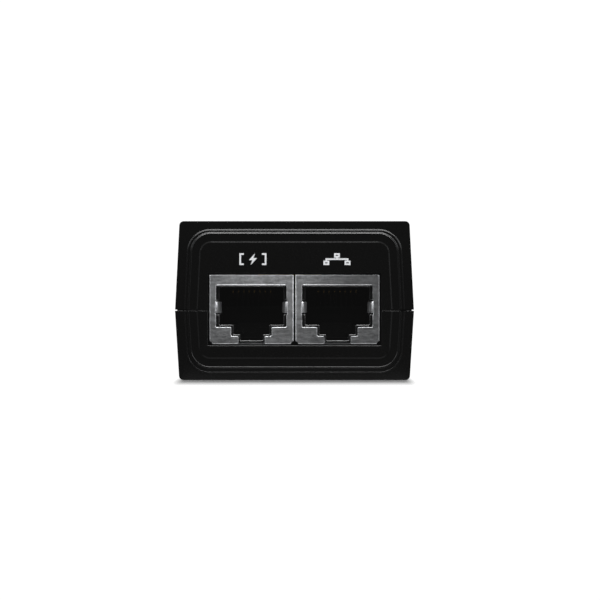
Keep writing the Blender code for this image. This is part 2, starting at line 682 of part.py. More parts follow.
def build_indicator():
    """A small lamp on the board and the clear rod that carries its light through the roof."""
    on_board("power_led", PIPE_X, PIPE_Y, (3.0, 1.6, 1.0), "light_pipe")
    low = SEAT_Z + 1.0 + GAP
    high = CASE_HEIGHT - 0.05
    pipe = cylinder("power_led_light_pipe", (PIPE_X, PIPE_Y, (low + high) / 2), PIPE_RADIUS, high - low,
                    segments=24)
    return show(pipe, "light_pipe")


clear_scene()
INJECTOR = new_collection("poe_injector")
CUTTERS = new_collection("cutters")
build_upper_case()
build_lower_case()
build_label()
build_board()
build_jack("poe", -JACK_X)
build_jack("lan", JACK_X)
build_inlet_housing()
build_inlet_pins()
build_inlet_wires()
build_line_choke()
build_transformer()
build_switch()
build_board_parts()
build_indicator()
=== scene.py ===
"""Looks of the PoE injector: fine shells, jacks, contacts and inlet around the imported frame.

Sizes are millimetres, in the frame's axes: +Z up, the jacks face -Y, the mains inlet faces +Y. Only the
lamps are in metres.
"""
import json
import math

import bmesh
import bpy
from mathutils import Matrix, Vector


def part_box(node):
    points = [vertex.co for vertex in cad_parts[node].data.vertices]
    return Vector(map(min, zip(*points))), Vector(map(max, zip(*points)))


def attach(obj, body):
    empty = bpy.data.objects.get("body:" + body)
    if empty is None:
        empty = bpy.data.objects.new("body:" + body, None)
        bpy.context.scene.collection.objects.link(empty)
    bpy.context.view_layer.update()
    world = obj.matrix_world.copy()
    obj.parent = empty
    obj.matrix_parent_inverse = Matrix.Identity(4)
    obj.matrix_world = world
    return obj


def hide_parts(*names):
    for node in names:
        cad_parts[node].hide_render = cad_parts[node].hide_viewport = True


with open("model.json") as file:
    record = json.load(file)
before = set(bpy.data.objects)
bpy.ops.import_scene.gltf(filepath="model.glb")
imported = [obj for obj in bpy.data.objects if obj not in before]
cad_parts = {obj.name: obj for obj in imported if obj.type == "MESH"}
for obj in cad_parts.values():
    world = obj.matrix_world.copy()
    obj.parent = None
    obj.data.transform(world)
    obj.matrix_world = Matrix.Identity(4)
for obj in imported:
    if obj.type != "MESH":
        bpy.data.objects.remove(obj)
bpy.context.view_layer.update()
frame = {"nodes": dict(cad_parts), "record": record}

MM = 0.001


def box_mm(node):
    """A CAD node's low and high corners, in millimetres."""
    low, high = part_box(node)
    return low / MM, high / MM


UPPER_HIGH = box_mm("upper_case")[1]
LOWER_HIGH = box_mm("lower_case")[1]
FAR = 60.0                     # past the case in every direction

# Case, as the CAD has it
CASE_TOP = UPPER_HIGH.z
PARTING_Z = 13.0
SEAM_Z = 13.1                  # where the shells' visible edges meet
SEAM_OVERLAP = 0.04
SEAM_GAP = 0.22
GROOVE_DEPTH = 0.38
PARTING_HALF_WIDTH = 22.55
TOP_HALF_WIDTH = 21.7
BOTTOM_HALF_WIDTH = 21.75
HALF_LENGTH = UPPER_HIGH.y
LONG_EDGE_RADIUS = 0.85
LONG_EDGE_STEPS = 8
WALL = 2.0
INNER_RADIUS = 0.5
STEP_HEIGHTS = (0.2, 0.28, 0.12)
END_PLANE = HALF_LENGTH - sum(STEP_HEIGHTS)
INNER_HALF_LENGTH = END_PLANE - 1.8
REBATE_WALL = 0.95
REBATE_TOP = 15.0
TONGUE_TOP = LOWER_HIGH.z
TONGUE_GAP = 0.3
BOARD_POSTS = [(-16.5, -37.0), (16.5, -37.0), (-16.5, 15.5), (16.5, 15.5)]
POST_HALF = 1.6
POST_GAP = 0.3
LABEL_MARGIN = 0.3
LABEL_RECESS = 0.5
PIPE_GAP = 0.1
BOARD_UNDERSIDE = box_mm("circuit_board")[0].z

# Raised steps of an end face, halfway up each: inset from the case's sides, low z, high z, corner radius
END_STEPS = ((1.78, 1.37, 28.37, 4.3), (2.45, 2.29, 27.8, 3.8), (4.2, 4.15, 26.03, 2.1))
# Profile of a step of height 1, as (how far in from halfway, height): the rings slope up to a fine rim
RING_PROFILE = ((-0.54, 0.0), (-0.33, 0.08), (-0.17, 0.25), (0.29, 0.83), (0.42, 1.0), (0.54, 1.17),
                (0.65, 1.24), (0.72, 1.23), (0.84, 1.11), (0.96, 1.0))
PANEL_PROFILE = ((-1.33, 0.0), (-1.0, 0.07), (0.83, 0.9), (1.17, 0.98), (1.42, 1.0))
STEP_ARC_STEPS = 22

# Opening for the jacks: half width, low z, high z; and the hood and rib that close it behind the shields
OPENING = (16.36, 6.58, 20.16)
OPENING_FLARE = 0.17
RIB_FRONT = -41.6
RIB_BACK = -40.7
RIB_HALF_WIDTH = 0.11
HOOD_DROP = 0.25
HOOD_MARGIN = 0.5

# Shields: the sheet, its folds, the stepped window and the gap cut for each side spring
PORTS = ("poe", "lan")
SHEET = 0.3
FOLD_RADIUS = 0.28
TOP_FOLD_RADIUS = 0.05
FOLD_STEPS = 5
WINDOW_HALF_WIDTH = 6.62
WINDOW_LEFT_REACH = 6.73
WINDOW_TOP = 17.83
WINDOW_LEDGE_Z = 9.98
WINDOW_STEP = (3.82, 8.3)
WINDOW_LATCH_HALF_WIDTH = 2.5
WINDOW_ROUNDING = 0.28
NOTCH_HALF_WIDTH = 6.78
NOTCH_GAP = 0.25

# Rolled bead over a window: its radius, and its centre behind the shield's front and above the window
BEAD_RADIUS = 0.2
BEAD_DEPTH = 0.172
BEAD_RISE = 0.08
BEAD_INSET = 0.2

# Plug cavities
CAVITY_HALF_WIDTH = 6.05
CAVITY_TOP = 17.55
CAVITY_LEDGE_Z = 10.42
CAVITY_STEP = (3.4, 8.6)
CAVITY_LATCH = (2.15, 7.47)
CAVITY_BACK = -25.5
POCKET_HALF_WIDTH = 6.95
POCKET_DEPTH = 6.6
POCKET_GAP = 0.3

# Profiles of the shields' trim, measured back from the front and up from the bottom edge or out from a side
SILL_PROFILE = ((-0.03, 0.02), (-0.03, 0.06), (0.01, 0.14), (0.01, 0.02))
LATCH_STRIP = (0.2, -0.02, 0.5, 0.07)
BURR_PROFILE = ((-0.1, -0.02), (-0.02, -0.02), (0.03, 0.02), (0.03, 0.2), (-0.1, 0.2))

# Contact wires: a small hook at the front, then a slope that starts behind and below the wire's front top
WIRE_RADIUS = 0.17
HOOK_RADIUS = 0.16
SLOPE_START = (0.3, 0.36)
SLOPE_STEPS = 12
SLOPE_BOW = 0.22
SLOPE_FALL = 1.12
TIP_GAP = 0.05

# Side springs: where each turns round the window's edge, and its bow
SPRING_REACH = 6.68
SPRING_SETBACK = 0.02
SPRING_NOSE = 0.3
SPRING_NOSE_BACK = 0.12
SPRING_SHEET = 0.2
SPRING_STEPS = 14
SPRING_BOW = 0.62
SPRING_BOW_END = 0.66          # share of the length where the bow is deepest
SPRING_CURL = 0.35

# Painted highlight on the shields' metal, a brighter base colour round one place: centre, near and far reach
# with the tone at each; and a painted highlight on the folds, by how far they are turned to the side
HIGHLIGHT_CENTRE = (-6.5, -42.8, 22.5)
HIGHLIGHT_REACH = (4.5, 19.0)
HIGHLIGHT_LEVELS = (1.14, 0.5)
FOLD_HIGHLIGHT_TURN = (0.15, 0.5)
FOLD_HIGHLIGHT = 1.6

# Inlet: half width, half height and chamfer of each outline
INLET_Z = 15.0
INLET_OUTER = (13.7, 9.6, 5.0)
INLET_RECESS = (12.3, 8.2, 4.4)
INLET_RECESS_FLOOR = 26.5
INLET_OPENING_GAP = 0.25
INLET_SETBACK = 0.1
RECESS_ROUNDING = 0.5
FLANGE_MARGIN = 1.6
FLANGE_THICKNESS = 1.6
FLANGE_GAP = 0.3
SLOT_GAP = 0.15
PIN_TIP = 1.3
PIN_TIP_SHRINK = 0.75
PIN_TIP_STEPS = 8
PIN_CORNER = 0.4
PIN_CORNER_STEPS = 5

# Printed port symbols
PRINT_Z = 22.8
PRINT_HEIGHT = 2.24
PRINT_HALF_WIDTH = 2.55
PRINT_STROKE = 0.32
PRINT_THICKNESS = 0.03
BRACKET_FOOT = 0.85
POWER_SYMBOL_X = -7.83
NETWORK_SYMBOL_X = 8.0

# Floor sheet, dim as a painted shadow: how far out from the case it starts to fade and is gone, and how much
# faster to the sides
FLOOR_HALF_SIZE = 150.0
FLOOR_SHADOW_TONES = (0.07, 0.08)
FLOOR_GLOSS_SHARE = 0.05
FLOOR_FADE = (6.0, 20.5)
FLOOR_SIDE_SCALE = 9.0
FLOOR_SIDE_START = 20.25

# Studio: radiance of the room as the object's surfaces see it, by the direction's x, y and z
ROOM_LIGHT = 0.012
LEFT_LIGHT = 3.4
RIGHT_LIGHT = 5.2
LOW_LIGHT_SHARE = 0.05
SIDE_REACH = (0.58, 0.76)
FRONT_REACH = (-0.2, -0.05)
RAISED_REACH = (0.17, 0.33)
TOP_REACH = (0.1, 0.9)
TOP_LIGHT = 0.3
BACKGROUND = 1.05
HAZE = 0.0036

# Camera: its place across and up, and the width it sees at the port face
CAMERA_X = 1.04
CAMERA_Z = 15.1
SEEN_WIDTH = 113.0


# ---------------------------------------------------------------- meshes

def new_piece(name, shape):
    mesh = bpy.data.meshes.new(name)
    shape.to_mesh(mesh)
    shape.free()
    piece = bpy.data.objects.new(name, mesh)
    bpy.context.scene.collection.objects.link(piece)
    return piece


def loft(name, loops, along="Y"):
    """A closed solid through loops of equal length, each (place along the axis, [(across, up), ...])."""
    order = {"X": lambda a, u, p: (p, a, u), "Y": lambda a, u, p: (a, p, u), "Z": lambda a, u, p: (a, u, p)}
    place = order[along]
    shape = bmesh.new()
    rings = []
    for position, outline in loops:
        rings.append([shape.verts.new(Vector(place(a, u, position)) * MM) for a, u in outline])
    for ring, following in zip(rings, rings[1:]):
        for index in range(len(ring)):
            ahead = (index + 1) % len(ring)
            shape.faces.new((ring[index], ring[ahead], following[ahead], following[index]))
    shape.faces.new(rings[0])
    shape.faces.new(rings[-1])
    bmesh.ops.recalc_face_normals(shape, faces=shape.faces)
    return new_piece(name, shape)


def bar(x_low, z_low, x_high, z_high):
    return [(x_low, z_low), (x_high, z_low), (x_high, z_high), (x_low, z_high)]


def prism(name, outline, start, end, along="Y"):
    return loft(name, [(start, outline), (end, outline)], along)


def block(name, low, high):
    return prism(name, bar(low[0], low[2], high[0], high[2]), low[1], high[1])


def combine(piece, others, operation):
    """Join solids to a piece, or cut them out of it, and leave the result as its mesh."""
    for other in others:
        modifier = piece.modifiers.new(other.name, "BOOLEAN")
        modifier.operation = operation
        modifier.object = other
    bpy.context.view_layer.update()
    evaluated = piece.evaluated_get(bpy.context.evaluated_depsgraph_get())
    mesh = bpy.data.meshes.new_from_object(evaluated)
    piece.modifiers.clear()
    piece.data = mesh
    for other in others:
        bpy.data.objects.remove(other, do_unlink=True)
    return piece


def cut(piece, *others):
    return combine(piece, others, "DIFFERENCE")


def join(piece, *others):
    return combine(piece, others, "UNION")


def soften(piece, width, segments=3, angle=40):
    """Round every edge sharper than the angle, shade the rounding smooth and keep the flats flat."""
    bevel = piece.modifiers.new("edges", "BEVEL")
    bevel.width = width * MM
    bevel.segments = segments
    bevel.limit_method = "ANGLE"
    bevel.angle_limit = math.radians(angle)
    bevel.use_clamp_overlap = False
    bevel.miter_outer = "MITER_ARC"
    piece.data.shade_smooth()
    piece.modifiers.new("flat_faces", "WEIGHTED_NORMAL").weight = 100


def smooth_shade(piece, angle):
    """Shade smooth, but for edges sharper than the angle."""
    piece.data.shade_smooth()
    piece.data.set_sharp_from_angle(angle=math.radians(angle))


def arc(centre_x, centre_z, radius, start, steps, sweep=90.0):
    points = []
    for step in range(steps + 1):
        angle = math.radians(start + sweep * step / steps)
        points.append((centre_x + radius * math.cos(angle), centre_z + radius * math.sin(angle)))
    return points


def rounded_rectangle(half_width, low, high, radius):
    x = half_width - radius
    steps = PIN_CORNER_STEPS
    return (arc(x, low + radius, radius, -90, steps) + arc(x, high - radius, radius, 0, steps)
            + arc(-x, high - radius, radius, 90, steps) + arc(-x, low + radius, radius, 180, steps))


def round_corners(points, radius, steps=4):
    """The outline with each corner turned into a short curve."""
    rounded = []
    for index, point in enumerate(points):
        corner = Vector(point)
        before = Vector(points[index - 1]) - corner
        after = Vector(points[(index + 1) % len(points)]) - corner
        start = corner + before.normalized() * min(radius, before.length * 0.45)
        end = corner + after.normalized() * min(radius, after.length * 0.45)
        for step in range(steps + 1):
            t = step / steps
            rounded.append(tuple(start * (1 - t) ** 2 + corner * 2 * t * (1 - t) + end * t ** 2))
    return rounded


def finish_piece(piece, body, slot, *nodes):
    """Give a piece its body, its material slot's look and the CAD nodes that it stands for."""
    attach(piece, body)
    if nodes:
        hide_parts(*nodes)
    piece.data.materials.clear()
    piece.data.materials.append(look(slot))


# ---------------------------------------------------------------- materials

def shader_nodes(name):
    """A new material, its node tree and its Principled shader."""
    material = bpy.data.materials.new(name)
    material.use_nodes = True
    tree = material.node_tree
    return material, tree, tree.nodes["Principled BSDF"]


def noise(tree, scale, detail=3.0, roughness=0.5, stretch=None):
    """Noise in the frame's own coordinates, optionally stretched along one axis."""
    place = object_place(tree)
    if stretch:
        mapping = tree.nodes.new("ShaderNodeMapping")
        mapping.inputs["Scale"].default_value = stretch
        tree.links.new(place, mapping.inputs["Vector"])
        place = mapping.outputs["Vector"]
    texture = tree.nodes.new("ShaderNodeTexNoise")
    texture.inputs["Scale"].default_value = scale
    texture.inputs["Detail"].default_value = detail
    texture.inputs["Roughness"].default_value = roughness
    tree.links.new(place, texture.inputs["Vector"])
    return texture.outputs["Fac"]


def ranged(tree, source, low, high, source_low=0.3, source_high=0.7):
    """A value that runs from low to high as the source does."""
    node = tree.nodes.new("ShaderNodeMapRange")
    node.inputs["From Min"].default_value = source_low
    node.inputs["From Max"].default_value = source_high
    node.inputs["To Min"].default_value = low
    node.inputs["To Max"].default_value = high
    tree.links.new(source, node.inputs["Value"])
    return node.outputs["Result"]


def two_tones(tree, source, dark, light):
    """A colour between two tones, by the source."""
    mix = tree.nodes.new("ShaderNodeMix")
    mix.data_type = "RGBA"
    mix.inputs["A"].default_value = (*dark, 1.0)
    mix.inputs["B"].default_value = (*light, 1.0)
    tree.links.new(source, mix.inputs["Factor"])
    return mix.outputs["Result"]


def connect(tree, node, values):
    """Feed a node's first inputs, each from a socket or with a fixed value."""
    for target, value in zip(node.inputs, values):
        if isinstance(value, bpy.types.NodeSocket):
            tree.links.new(value, target)
        else:
            target.default_value = value


def maths(tree, operation, *values):
    node = tree.nodes.new("ShaderNodeMath")
    node.operation = operation
    connect(tree, node, values)
    return node.outputs["Value"]


def vector_maths(tree, operation, *values, result="Vector"):
    node = tree.nodes.new("ShaderNodeVectorMath")
    node.operation = operation
    connect(tree, node, values)
    return node.outputs[result]


def object_place(tree):
    return tree.nodes.new("ShaderNodeTexCoord").outputs["Object"]


def bump(tree, height, strength, distance):
    node = tree.nodes.new("ShaderNodeBump")
    node.inputs["Strength"].default_value = strength
    node.inputs["Distance"].default_value = distance * MM
    tree.links.new(height, node.inputs["Height"])
    return node.outputs["Normal"]


def surface(name, colour, rough, metallic=0.0, variation=0.15, blotch=150.0, grain=4000.0,
            grain_depth=0.01, specular=0.5, stretch=None, coat=0.0):
    """A moulded, dipped or rolled surface: two tones in soft blotches, uneven gloss and a fine grain."""
    material, tree, shader = shader_nodes(name)
    blotches = noise(tree, blotch, 4.0, 0.6)
    dark = [c * (1 - variation) for c in colour]
    light = [min(1.0, c * (1 + variation)) for c in colour]
    tree.links.new(two_tones(tree, ranged(tree, blotches, 0, 1), dark, light), shader.inputs["Base Color"])
    fine = noise(tree, grain, 2.0, 0.5, stretch)
    tree.links.new(ranged(tree, fine, rough[0], rough[1]), shader.inputs["Roughness"])
    tree.links.new(bump(tree, fine, 0.6, grain_depth), shader.inputs["Normal"])
    shader.inputs["Metallic"].default_value = metallic
    shader.inputs["Specular IOR Level"].default_value = specular
    shader.inputs["Coat Weight"].default_value = coat
    return material


def case_plastic():
    """Near-black moulded plastic with a very fine spark-eroded grain."""
    return surface("case_plastic_look", (0.0012, 0.0012, 0.0011), (0.2, 0.28), variation=0.2,
                   blotch=60, grain=5200, grain_depth=0.003, specular=0.42)


def shield_metal():
    """Satin nickel plate on steel sheet: faintly mottled, with a painted highlight round one place and on the
    folds turned to the side.
    """
    material, tree, shader = shader_nodes("shield_metal_look")
    mottle = noise(tree, 1900, 6.0, 0.75)
    tones = two_tones(tree, ranged(tree, mottle, 0, 1), (0.56, 0.57, 0.58), (0.9, 0.91, 0.92))
    # Painted highlight: the base colour is brighter near one place on the shields and on the folds that face
    # sideways.
    away = vector_maths(tree, "DISTANCE", object_place(tree), Vector(HIGHLIGHT_CENTRE) * MM, result="Value")
    near, far = HIGHLIGHT_REACH
    painted_highlight = ranged(tree, away, *HIGHLIGHT_LEVELS, near * MM, far * MM)
    normal = tree.nodes.new("ShaderNodeSeparateXYZ")
    tree.links.new(tree.nodes.new("ShaderNodeNewGeometry").outputs["Normal"], normal.inputs["Vector"])
    turned = maths(tree, "ABSOLUTE", normal.outputs["X"])
    gain = maths(tree, "MULTIPLY", painted_highlight, ranged(tree, turned, 1.0, FOLD_HIGHLIGHT, *FOLD_HIGHLIGHT_TURN))
    level = tree.nodes.new("ShaderNodeVectorMath")
    level.operation = "SCALE"
    tree.links.new(tones, level.inputs[0])
    tree.links.new(gain, level.inputs["Scale"])
    tree.links.new(level.outputs["Vector"], shader.inputs["Base Color"])
    grain = noise(tree, 2600, 3.0, 0.6, stretch=(0.35, 1.0, 1.0))
    tree.links.new(ranged(tree, grain, 0.36, 0.5), shader.inputs["Roughness"])
    tree.links.new(bump(tree, grain, 0.5, 0.012), shader.inputs["Normal"])
    shader.inputs["Metallic"].default_value = 1.0
    return material


def winding(name, colour, period):
    """Enamelled wire: fine parallel turns across the coil."""
    material, tree, shader = shader_nodes(name)
    wave = tree.nodes.new("ShaderNodeTexWave")
    wave.bands_direction = "Z"
    wave.inputs["Scale"].default_value = 0.31 / (period * MM)
    wave.inputs["Distortion"].default_value = 0.4
    tree.links.new(object_place(tree), wave.inputs["Vector"])
    dark = [c * 0.55 for c in colour]
    tree.links.new(two_tones(tree, wave.outputs["Fac"], dark, colour), shader.inputs["Base Color"])
    tree.links.new(bump(tree, wave.outputs["Fac"], 0.8, period * 0.3), shader.inputs["Normal"])
    shader.inputs["Metallic"].default_value = 0.9
    shader.inputs["Roughness"].default_value = 0.32
    return material


def board_laminate():
    """Green solder mask over faint copper runs."""
    material, tree, shader = shader_nodes("board_laminate_look")
    cells = tree.nodes.new("ShaderNodeTexVoronoi")
    cells.distance = "MANHATTAN"
    cells.feature = "DISTANCE_TO_EDGE"
    cells.inputs["Scale"].default_value = 260
    tree.links.new(object_place(tree), cells.inputs["Vector"])
    runs = ranged(tree, cells.outputs["Distance"], 0, 1, 0.05, 0.09)
    tones = two_tones(tree, runs, (0.008, 0.075, 0.022), (0.02, 0.15, 0.05))
    tree.links.new(tones, shader.inputs["Base Color"])
    tree.links.new(bump(tree, runs, 0.4, 0.03), shader.inputs["Normal"])
    shader.inputs["Roughness"].default_value = 0.28
    return material


def clear_plastic():
    """Frosted clear acrylic."""
    material, tree, shader = shader_nodes("light_pipe_look")
    haze = noise(tree, 1500, 3.0)
    tree.links.new(ranged(tree, haze, 0.18, 0.34), shader.inputs["Roughness"])
    tree.links.new(two_tones(tree, haze, (0.2, 0.24, 0.22), (0.32, 0.36, 0.34)), shader.inputs["Base Color"])
    shader.inputs["Transmission Weight"].default_value = 0.6
    shader.inputs["IOR"].default_value = 1.49
    return material


LOOKS = {
    "case_plastic": case_plastic,
    "shield_metal": shield_metal,
    "spring_metal": lambda: surface("spring_metal_look", (0.72, 0.73, 0.74), (0.42, 0.52), 1.0, 0.08, 700,
                                    3000, 0.001, stretch=(1.0, 0.2, 1.0)),
    "jack_plastic": lambda: surface("jack_plastic_look", (0.004, 0.004, 0.0042), (0.16, 0.24), variation=0.2,
                                    grain=3500, grain_depth=0.003, specular=0.9, coat=1.0),
    "carrier_plastic": lambda: surface("carrier_plastic_look", (0.006, 0.006, 0.0062), (0.45, 0.58),
                                       variation=0.2, grain=3500, specular=0.35),
    # Gold darkened far below bright gold: painted shade for the contacts deep in the plug cavity.
    "gold_contact": lambda: surface("gold_contact_shaded_look", (0.15, 0.105, 0.042), (0.26, 0.36), 1.0, 0.08, 600,
                                    3000, 0.004),
    "board_laminate": board_laminate,
    "inlet_plastic": lambda: surface("inlet_plastic_look", (0.006, 0.006, 0.006), (0.36, 0.48),
                                     variation=0.2, grain=4200, specular=0.4),
    "plated_brass": lambda: surface("plated_brass_look", (0.68, 0.67, 0.62), (0.2, 0.33), 1.0, 0.07, 500,
                                    2500, 0.006, stretch=(1.0, 0.15, 1.0)),
    "live_wire": lambda: surface("live_wire_look", (0.16, 0.06, 0.02), (0.36, 0.46)),
    "neutral_wire": lambda: surface("neutral_wire_look", (0.03, 0.12, 0.5), (0.36, 0.46)),
    "earth_wire": lambda: surface("earth_wire_look", (0.1, 0.32, 0.03), (0.36, 0.46)),
    "ferrite": lambda: surface("ferrite_look", (0.035, 0.035, 0.04), (0.5, 0.68), variation=0.3, blotch=400,
                               grain=2200, grain_depth=0.03),
    "copper_winding": lambda: winding("copper_winding_look", (0.6, 0.22, 0.07), 0.5),
    "winding_tape": lambda: surface("winding_tape_look", (0.8, 0.62, 0.06), (0.25, 0.36), variation=0.1,
                                    stretch=(0.1, 0.1, 1.0)),
    "film_capacitor": lambda: surface("film_capacitor_look", (0.72, 0.56, 0.06), (0.3, 0.42), variation=0.08),
    "capacitor_sleeve": lambda: surface("capacitor_sleeve_look", (0.015, 0.025, 0.08), (0.24, 0.34),
                                        coat=0.3),
    "blue_ceramic": lambda: surface("blue_ceramic_look", (0.03, 0.1, 0.42), (0.4, 0.55), variation=0.25,
                                    blotch=500, grain=1500, grain_depth=0.04),
    "green_ceramic": lambda: surface("green_ceramic_look", (0.025, 0.1, 0.05), (0.4, 0.55), variation=0.25,
                                     blotch=500, grain=1500, grain_depth=0.04),
    "chip_epoxy": lambda: surface("chip_epoxy_look", (0.012, 0.012, 0.013), (0.5, 0.62), variation=0.25,
                                  blotch=500, grain=3000, grain_depth=0.02),
    "heat_sink_aluminium": lambda: surface("heat_sink_look", (0.74, 0.75, 0.76), (0.3, 0.44), 1.0, 0.06, 300,
                                           2500, 0.01, stretch=(1.0, 1.0, 0.08)),
    "led_body": clear_plastic,
    "light_pipe": clear_plastic,
    "label_film": lambda: surface("label_film_look", (0.42, 0.43, 0.44), (0.34, 0.44), 0.4, 0.05, 90, 3500,
                                  0.006),
    "port_print": lambda: surface("port_print_look", (0.8, 0.81, 0.82), (0.5, 0.62), variation=0.05,
                                  blotch=2500, grain=6000, grain_depth=0.006),
}
MADE_LOOKS = {}


def look(slot):
    if slot not in MADE_LOOKS:
        MADE_LOOKS[slot] = LOOKS[slot]()
    return MADE_LOOKS[slot]


# ---------------------------------------------------------------- case

def case_half_width(z):
    """Half the outer width at a height: each shell has its own draft."""
    if z >= PARTING_Z:
        share = (z - PARTING_Z) / (CASE_TOP - PARTING_Z)
        return PARTING_HALF_WIDTH + (TOP_HALF_WIDTH - PARTING_HALF_WIDTH) * share
    share = (PARTING_Z - z) / PARTING_Z
    return PARTING_HALF_WIDTH + (BOTTOM_HALF_WIDTH - PARTING_HALF_WIDTH) * share


def case_outline(inset, low, high, radius, steps=LONG_EDGE_STEPS):
    """The drafted cross-section, widest at the parting line, with round long edges."""
    x_low = case_half_width(low + radius) - inset - radius
    x_high = case_half_width(high - radius) - inset - radius
    middle = case_half_width(PARTING_Z) - inset
    return (arc(x_low, low + radius, radius, -90, steps) + [(middle, PARTING_Z)]
            + arc(x_high, high - radius, radius, 0, steps) + arc(-x_high, high - radius, radius, 90, steps)
            + [(-middle, PARTING_Z)] + arc(-x_low, low + radius, radius, 180, steps))


def end_step_slabs():
    """The raised steps of both end faces, each with a rounded slope and a fine rim."""
    slabs = []
    profiles = (RING_PROFILE, RING_PROFILE, PANEL_PROFILE)
    for side in (-1, 1):
        face = END_PLANE
        for step, (inset, low, high, radius), profile in zip(STEP_HEIGHTS, END_STEPS, profiles):
            loops = []
            for inward, height in ((profile[0][0], -1.0),) + profile:
                inward *= step
                outline = case_outline(inset + inward, low + inward, high - inward, radius - inward,
                                       STEP_ARC_STEPS)
                loops.append((side * (face + height * step), outline))
            slabs.append(loft(f"slab_{side}_{len(slabs)}", loops))
            face += step
    return slabs


def inlet_outline(half_width, half_height, chamfer):
    low = INLET_Z - half_height
    high = INLET_Z + half_height
    return [(-half_width, low), (half_width, low), (half_width, high - chamfer),
            (half_width - chamfer, high), (-half_width + chamfer, high), (-half_width, high - chamfer)]


def whole_case():
    """Both shells in one: the drafted body with its end steps, hollow, with the two end openings."""
    body = prism("case_body", case_outline(0.0, 0.0, CASE_TOP, LONG_EDGE_RADIUS), -END_PLANE, END_PLANE)
    join(body, *end_step_slabs())
    half_width, low, high = OPENING
    inside = prism("inside", case_outline(WALL, WALL, CASE_TOP - WALL, INNER_RADIUS), -INNER_HALF_LENGTH,
                   INNER_HALF_LENGTH)
    corners = bar(-half_width, low, half_width, high)
    flared = [(a, b - 1 - OPENING_FLARE if b == low else b) for a, b in corners]
    jack_hole = loft("jack_hole", [(-HALF_LENGTH - 1, flared), (-HALF_LENGTH + OPENING_FLARE, corners),
                                   (-INNER_HALF_LENGTH + 1, corners)])
    outer_width, outer_height, chamfer = INLET_OUTER
    inlet_hole = prism("inlet_hole", inlet_outline(outer_width + INLET_OPENING_GAP,
                                                   outer_height + INLET_OPENING_GAP, chamfer),
                       INNER_HALF_LENGTH - 1, HALF_LENGTH + 1)
    return cut(body, inside, jack_hole, inlet_hole)


def copy_piece(piece, name):
    twin = bpy.data.objects.new(name, piece.data.copy())
    bpy.context.scene.collection.objects.link(twin)
    return twin


def parting_groove(name):
    """A cutter for the shallow groove that runs round the case where the shells meet."""
    low = SEAM_Z - SEAM_OVERLAP
    high = low + SEAM_GAP
    inner_x = PARTING_HALF_WIDTH - GROOVE_DEPTH
    inner_y = END_PLANE - GROOVE_DEPTH
    groove = block(name, (-FAR, -FAR, low), (FAR, FAR, high))
    return cut(groove, block(name + "_inside", (-inner_x, -inner_y, low - 1), (inner_x, inner_y, high + 1)))


def make_shells():
    upper = whole_case()
    lower = copy_piece(upper, "lower_shell")
    upper.name = "upper_shell"
    rebate_x = PARTING_HALF_WIDTH - REBATE_WALL
    rebate_y = END_PLANE - REBATE_WALL
    pipe_low, pipe_high = box_mm("power_led_light_pipe")
    pipe = (pipe_low + pipe_high) / 2
    hole = (pipe_high.x - pipe_low.x) / 2 + PIPE_GAP
    cut(upper, block("below", (-FAR, -FAR, -FAR), (FAR, FAR, SEAM_Z)), parting_groove("upper_groove"),
        block("rebate", (-rebate_x, -rebate_y, PARTING_Z - 1), (rebate_x, rebate_y, REBATE_TOP)),
        prism("pipe_hole", arc(pipe.x, pipe.y, hole, 0, 40, 351.0), CASE_TOP - 5, CASE_TOP + 5, "Z"))
    half_width, low, high = OPENING
    hood_x = half_width + HOOD_MARGIN
    hood_top = high + HOOD_MARGIN
    join(upper, block("hood", (-hood_x, RIB_FRONT, high - HOOD_DROP), (hood_x, RIB_BACK, hood_top)),
         block("rib", (-RIB_HALF_WIDTH, RIB_FRONT, low), (RIB_HALF_WIDTH, RIB_BACK, hood_top)))
    tongue_x = rebate_x - TONGUE_GAP
    tongue_y = rebate_y - TONGUE_GAP
    inner_x = PARTING_HALF_WIDTH - WALL
    outer_width, outer_height, _ = INLET_OUTER
    tongue = block("tongue", (-tongue_x, -tongue_y, PARTING_Z - 1), (tongue_x, tongue_y, TONGUE_TOP))
    inlet_x = outer_width + TONGUE_GAP
    cut(tongue, block("tongue_inside", (-inner_x, -INNER_HALF_LENGTH, 0), (inner_x, INNER_HALF_LENGTH, FAR)),
        block("tongue_jacks", (-half_width, -FAR, low), (half_width, 0, FAR)),
        block("tongue_inlet", (-inlet_x, 0, INLET_Z - outer_height), (inlet_x, FAR, FAR)))
    label_low, label_high = box_mm("rating_label")
    cut(lower, block("above", (-FAR, -FAR, SEAM_Z - SEAM_OVERLAP), (FAR, FAR, FAR)),
        parting_groove("lower_groove"),
        block("label_recess", (label_low.x - LABEL_MARGIN, label_low.y - LABEL_MARGIN, -1),
              (label_high.x + LABEL_MARGIN, label_high.y + LABEL_MARGIN, LABEL_RECESS)))
    posts = [block(f"post_{index}", (x - POST_HALF, y - POST_HALF, WALL - 0.5),
                   (x + POST_HALF, y + POST_HALF, BOARD_UNDERSIDE - POST_GAP))
             for index, (x, y) in enumerate(BOARD_POSTS)]
    join(lower, tongue, *posts)
    for piece, node in ((upper, "upper_case"), (lower, "lower_case")):
        soften(piece, width=0.06, angle=60)
        finish_piece(piece, "case", "case_plastic", node)


# ---------------------------------------------------------------- jacks

def shield_outline(x, bottom, half_width, top, inset, top_inset):
    """The can's outline: neat upper corners and clipped lower ones."""
    side = half_width - inset
    low = bottom + top_inset
    points = [(side - 0.5, low), (side - 0.42, low + 0.38), (side, low + 0.5), (side, top - top_inset)]
    points += [(-a, b) for a, b in reversed(points)]
    return [(x + a, b) for a, b in round_corners(points, 0.16, 3)]


